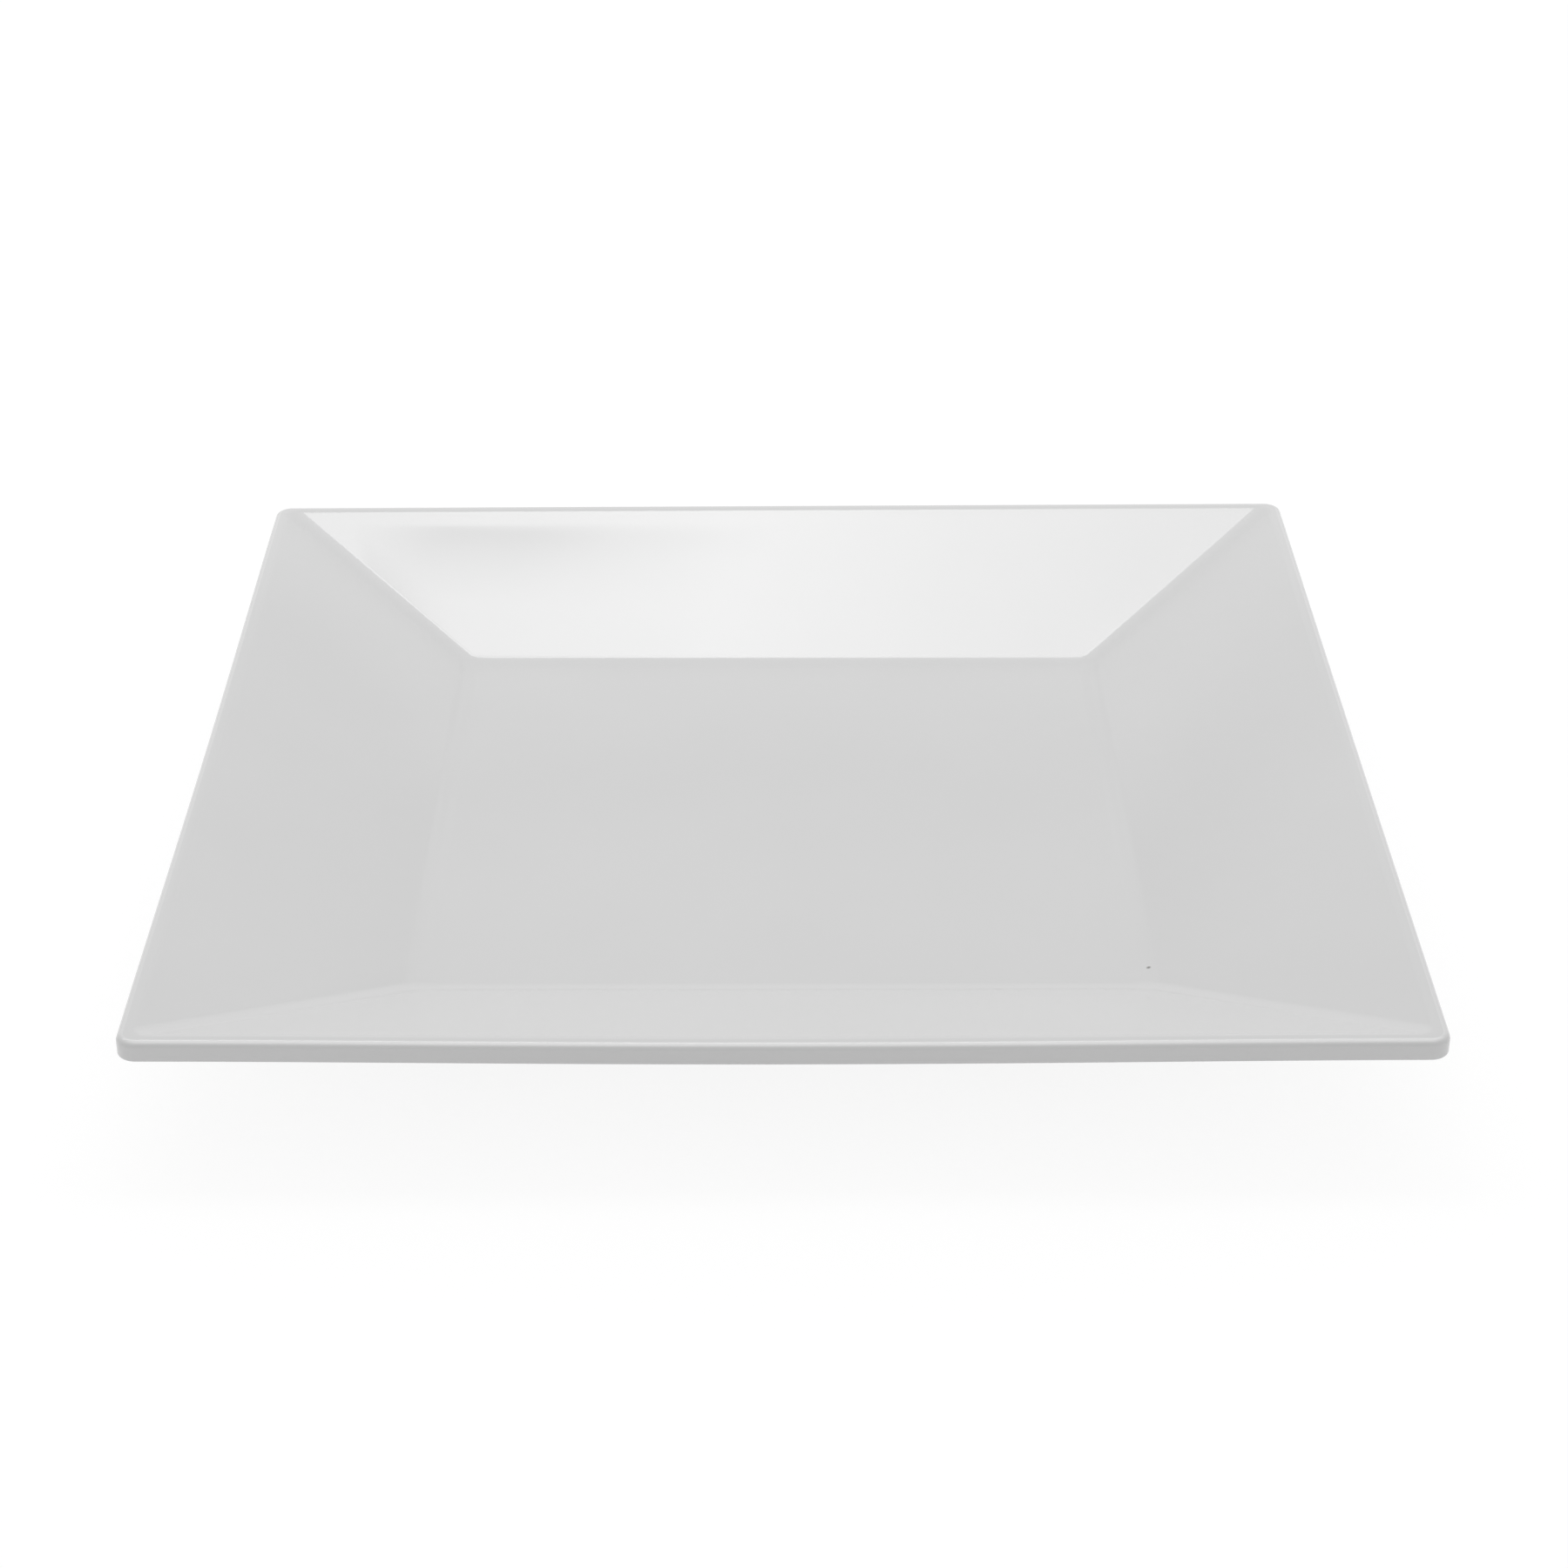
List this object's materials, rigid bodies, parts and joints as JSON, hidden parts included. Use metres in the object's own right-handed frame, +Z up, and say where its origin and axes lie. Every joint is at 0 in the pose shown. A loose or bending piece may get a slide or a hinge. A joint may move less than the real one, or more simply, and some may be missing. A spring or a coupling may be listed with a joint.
{
  "type": "square plate",
  "caption": "Square dinner plate with a flat square well, flat sloping walls meeting in mitred corners, an upright edge band and a low foot ring; holds and serves food.",
  "frame": {"origin": "on the table under the middle of the plate, in the plane of the foot ring's standing face", "axes": "+Z up out of the well, +X and +Y square to two neighbouring sides"},
  "size_m": [0.254, 0.254, 0.0258],
  "materials": {
    "melamine_body": "white melamine, compression moulded, edge trimmed and polished, semi-gloss underside",
    "melamine_glaze": "clear melamine glaze over the white body, high gloss from a polished mould"
  },
  "bodies": {
    "root": {"plate_body": "melamine_body", "face_glaze": "melamine_glaze"}
  },
  "joints": []
}
